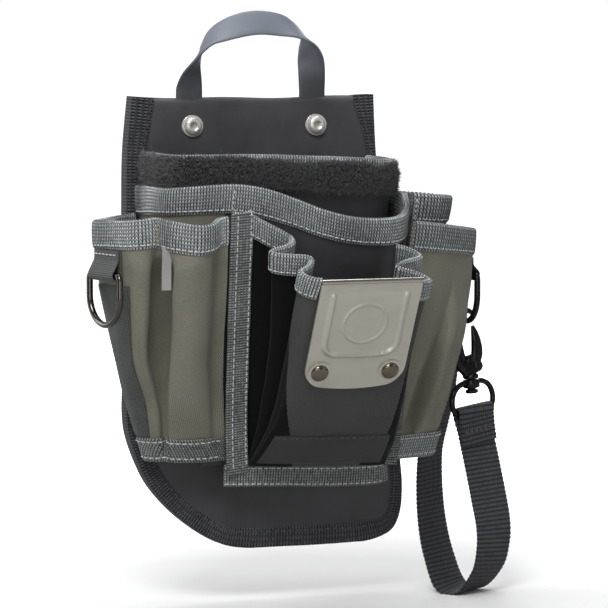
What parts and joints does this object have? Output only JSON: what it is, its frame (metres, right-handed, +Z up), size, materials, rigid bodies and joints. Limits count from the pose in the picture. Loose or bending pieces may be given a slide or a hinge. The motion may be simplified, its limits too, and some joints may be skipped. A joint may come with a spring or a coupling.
{
  "type": "electrician tool pouch",
  "caption": "Belt-worn fabric tool pouch with layered pockets, a tape-measure clip, side rings, a top handle and a wrist strap on a swivel snap hook.",
  "frame": {"origin": "middle of the flat rear face of the belt clip", "axes": "+Z up, +Y out of the back towards the wearer, -Y the front"},
  "size_m": [0.2325, 0.1247, 0.3029],
  "materials": {
    "black_webbing": "ribbed",
    "black_satin": "satin",
    "board": "matte",
    "rubber_strap": "satin",
    "bright_steel": "satin",
    "gunmetal": "gloss",
    "black_pile": "fuzzy",
    "olive_canvas": "twill",
    "black_nylon": "woven",
    "woven_tag": "woven",
    "grey_webbing": "herringbone"
  },
  "bodies": {
    "pouch": {"panel_rear_skin": "black_satin", "panel_stiffener": "board", "panel_front_skin": "black_satin", "panel_binding": "black_webbing", "handle_tails": "rubber_strap", "belt_clip": "bright_steel", "clip_screws": "bright_steel", "clip_washers": "bright_steel", "clip_nuts": "bright_steel", "main_pocket_wall": "black_satin", "main_pocket_edge_tape": "grey_webbing", "main_pocket_pile_band": "black_pile", "middle_pocket_left_wall": "olive_canvas", "middle_pocket_front_wall": "black_satin", "middle_pocket_binding": "grey_webbing", "rear_right_pocket_wall": "olive_canvas", "rear_right_binding": "grey_webbing", "left_pocket_wall": "olive_canvas", "left_pocket_binding": "grey_webbing", "left_side_tape": "grey_webbing", "left_bottom_tape": "grey_webbing", "pocket_tag": "woven_tag", "centre_side_tape": "grey_webbing", "centre_pocket_wall": "black_nylon", "centre_left_binding": "grey_webbing", "centre_right_binding": "grey_webbing", "toe_strip": "black_satin", "centre_bottom_tape": "grey_webbing", "tape_clip_plate": "bright_steel", "tape_clip_rivets": "gunmetal", "front_right_pocket_wall": "olive_canvas", "front_right_binding": "grey_webbing", "right_bottom_tape": "grey_webbing", "left_ring_tab": "grey_webbing", "right_ring_tab": "grey_webbing", "strap_top_loop": "black_webbing", "strap_tail": "black_webbing"},
    "handle": {"handle_loop": "rubber_strap"},
    "left_ring": {"left_d_ring": "gunmetal"},
    "right_ring": {"right_d_ring": "gunmetal"},
    "eye": {"swivel_eye": "gunmetal"},
    "hook": {"hook_body": "gunmetal", "gate_pin": "bright_steel"},
    "gate": {"hook_gate": "gunmetal"},
    "strap": {"strap_run": "black_webbing"}
  },
  "joints": [
    {"name": "handle_fold", "type": "hinge", "parent": "pouch", "child": "handle", "pos_m": [-0.00065, -0.0185, 0.0462], "axis": [1, 0, 0], "range_deg": [-70, 70]},
    {"name": "left_ring_swing", "type": "hinge", "parent": "pouch", "child": "left_ring", "pos_m": [-0.0913, -0.0632, -0.0405], "axis": [-0.2588, 0.9659, 0], "range_deg": [0, 100]},
    {"name": "hook_tilt", "type": "hinge", "parent": "pouch", "child": "eye", "pos_m": [0.1165, -0.0322, -0.119], "axis": [0.9234, 0.3746, 0.084], "range_deg": [-3, 3.5]},
    {"name": "right_ring_swing", "type": "hinge", "parent": "pouch", "child": "right_ring", "pos_m": [0.1124, -0.0322, -0.0475], "axis": [0, 1, 0], "range_deg": [-2.6, 2.6]},
    {"name": "hook_swivel", "type": "hinge", "parent": "eye", "child": "hook", "pos_m": [0.11487, -0.0322, -0.10107], "axis": [-0.0906, 0, 0.9959], "range_deg": [-15, 15]},
    {"name": "gate_open", "type": "hinge", "parent": "hook", "child": "gate", "pos_m": [0.11778, -0.0322, -0.09559], "axis": [0, -1, 0], "range_deg": [0, 6], "stiffness_Nm_per_rad": 0.02},
    {"name": "strap_swing", "type": "hinge", "parent": "pouch", "child": "strap", "pos_m": [0.1178, -0.0324, -0.133], "axis": [0.4699, -0.5188, -0.7142], "range_deg": [-5, 6]}
  ],
  "couplings": [
    {"joint": "right_ring_swing", "follows": "hook_tilt", "ratio": -0.716}
  ]
}
